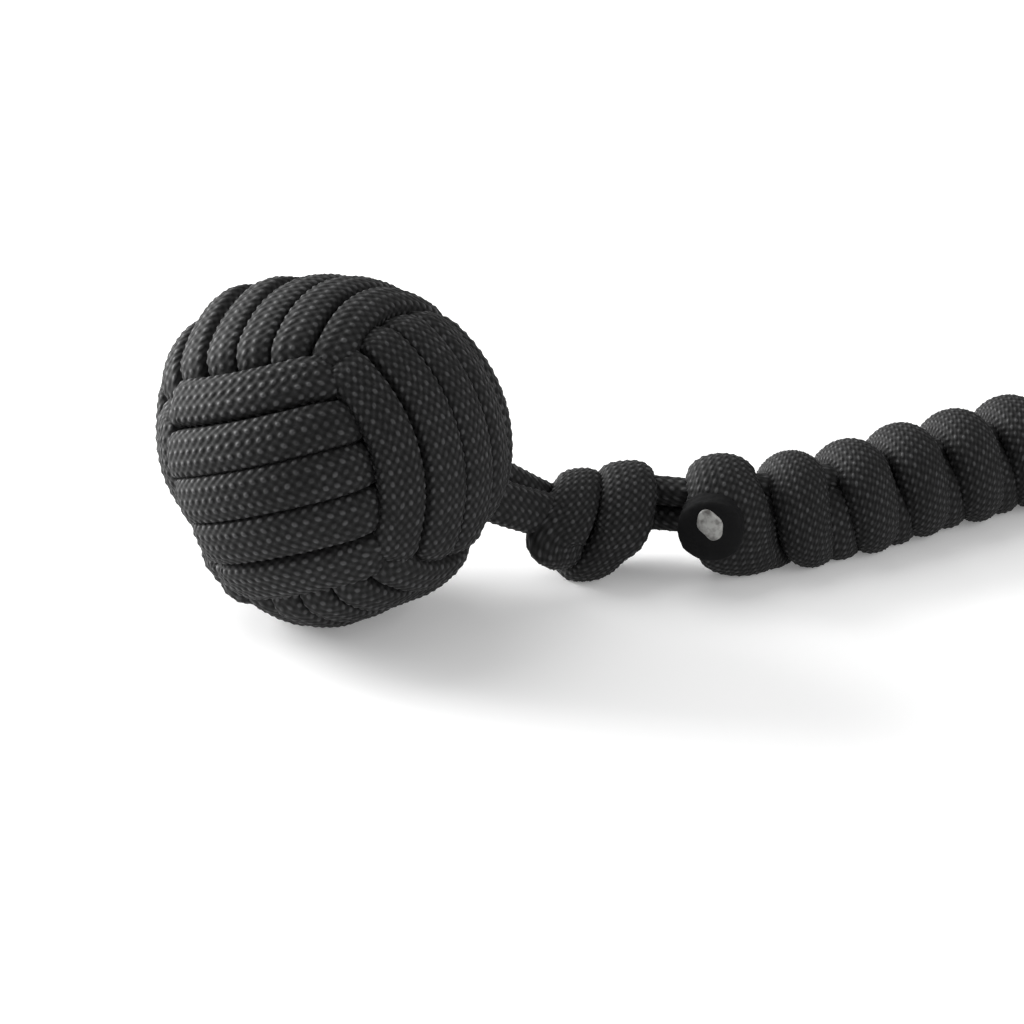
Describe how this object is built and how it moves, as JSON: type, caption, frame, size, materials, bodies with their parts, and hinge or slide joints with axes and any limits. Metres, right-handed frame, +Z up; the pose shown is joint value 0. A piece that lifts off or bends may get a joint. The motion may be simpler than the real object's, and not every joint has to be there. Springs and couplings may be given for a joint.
{
  "type": "monkey fist knot",
  "caption": "Round woven cord knot over a steel core, with a stopper knot and a wrapped cord lanyard that ends in a plain eye.",
  "frame": {"origin": "under the middle of the whole object, on the plane that it rests on", "axes": "+X along the stopper knot from the fist to the lanyard, which is the longest way, +Z up"},
  "size_m": [0.176, 0.06, 0.0374],
  "materials": {
    "black_cord": "black braided nylon cord, matt",
    "melted_nylon": "nylon core melted to a pale grey bead",
    "ball_steel": "plain bearing steel"
  },
  "bodies": {
    "lanyard": {"core_strand_upper": "black_cord", "core_strand_lower": "black_cord", "wrapping_cord": "black_cord", "cut_end": "black_cord", "melted_tip": "melted_nylon", "eye_loop": "black_cord"},
    "knot": {"knot_strand_upper": "black_cord", "knot_strand_lower": "black_cord", "knot_lobes": "black_cord", "link_strand_upper": "black_cord", "link_strand_lower": "black_cord"},
    "ball": {"steel_ball": "ball_steel", "first_turns": "black_cord", "second_turns": "black_cord", "third_turns": "black_cord", "neck_strand_upper": "black_cord", "neck_strand_lower": "black_cord"}
  },
  "joints": [
    {"name": "link_bend", "type": "hinge", "parent": "lanyard", "child": "knot", "pos_m": [-0.0305, -0.0085, 0.00624], "axis": [0, 0, 1], "range_deg": [-25, 25], "deforming": ["link_strand_upper", "link_strand_lower"]},
    {"name": "neck_bend", "type": "hinge", "parent": "knot", "child": "ball", "pos_m": [-0.04957, -0.01065, 0.00863], "axis": [0, 1, 0], "range_deg": [-30, 45], "deforming": ["neck_strand_upper", "neck_strand_lower"]}
  ]
}
